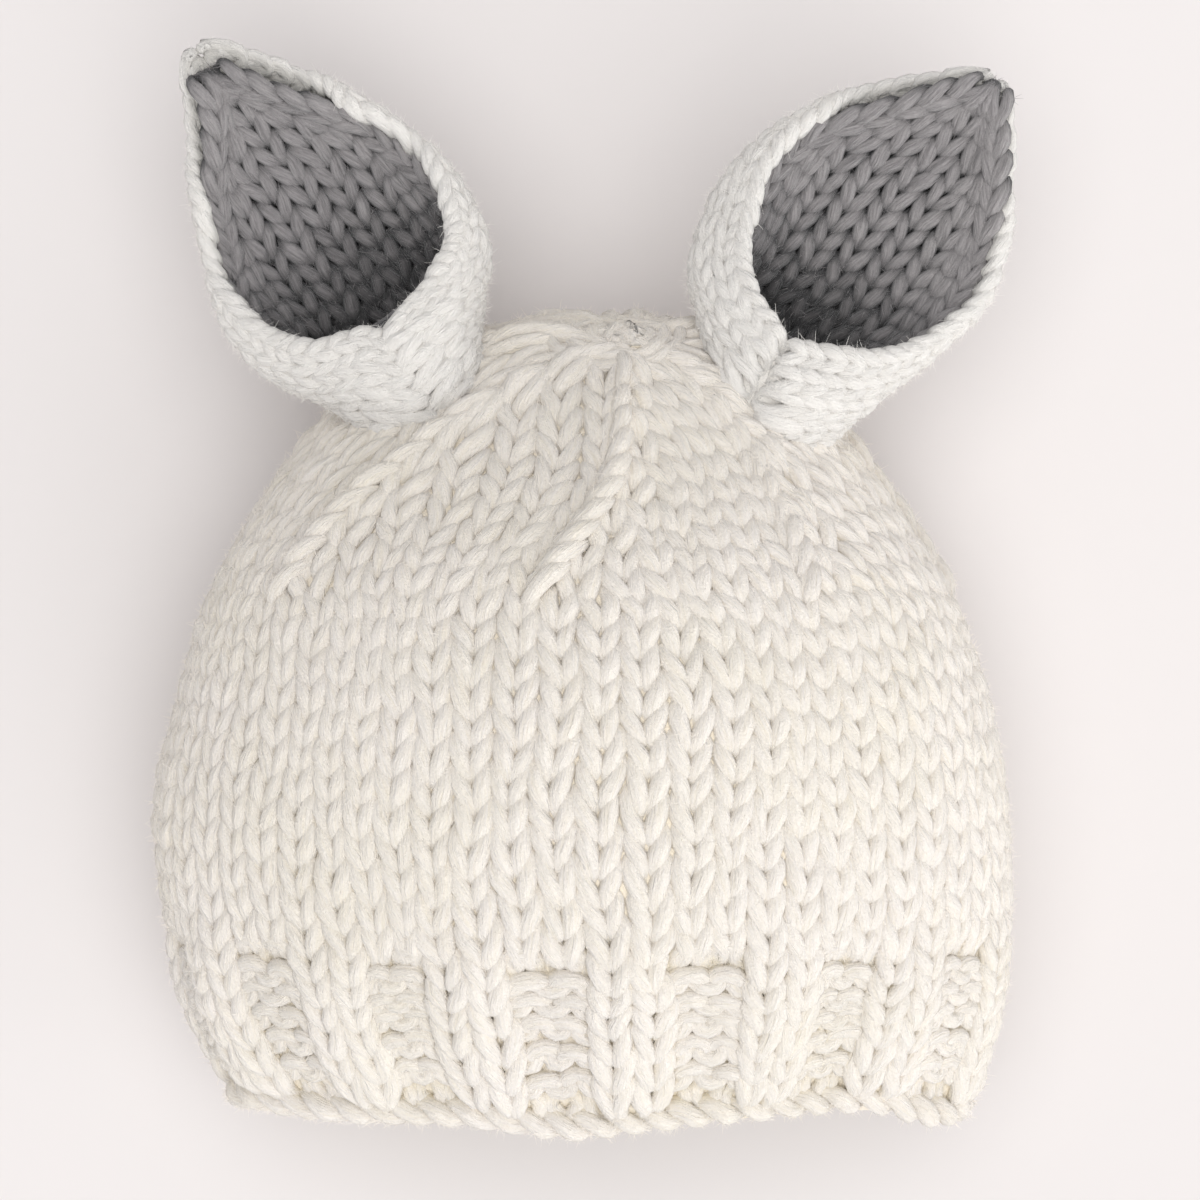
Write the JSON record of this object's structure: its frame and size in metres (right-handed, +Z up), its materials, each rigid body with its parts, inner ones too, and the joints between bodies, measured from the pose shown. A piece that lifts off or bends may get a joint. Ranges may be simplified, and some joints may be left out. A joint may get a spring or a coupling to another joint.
{
  "type": "knitted baby hat with ears",
  "caption": "Chunky knitted cream baby hat with a ribbed band, closed crown and two cupped white ears lined in grey, lying on its back, hollow and open at the band.",
  "frame": {"origin": "on the surface, in the flat patch that the lying hat rests on, on the hat's centre line", "axes": "+Y from the opening to the crown's tip, +Z up from the surface, +X across the hat"},
  "size_m": [0.1482, 0.1853, 0.0761],
  "materials": {
    "cream_wool": "soft chunky wool yarn, matte, cream white",
    "white_wool": "soft chunky wool yarn, matte, cool white",
    "grey_wool": "soft chunky wool yarn, matte, mid grey"
  },
  "bodies": {
    "root": {"crown": "cream_wool", "rib_band": "cream_wool", "cast_on_edge": "cream_wool", "ear_left_shell": "white_wool", "ear_left_lining": "grey_wool", "ear_right_shell": "white_wool", "ear_right_lining": "grey_wool"}
  },
  "joints": []
}
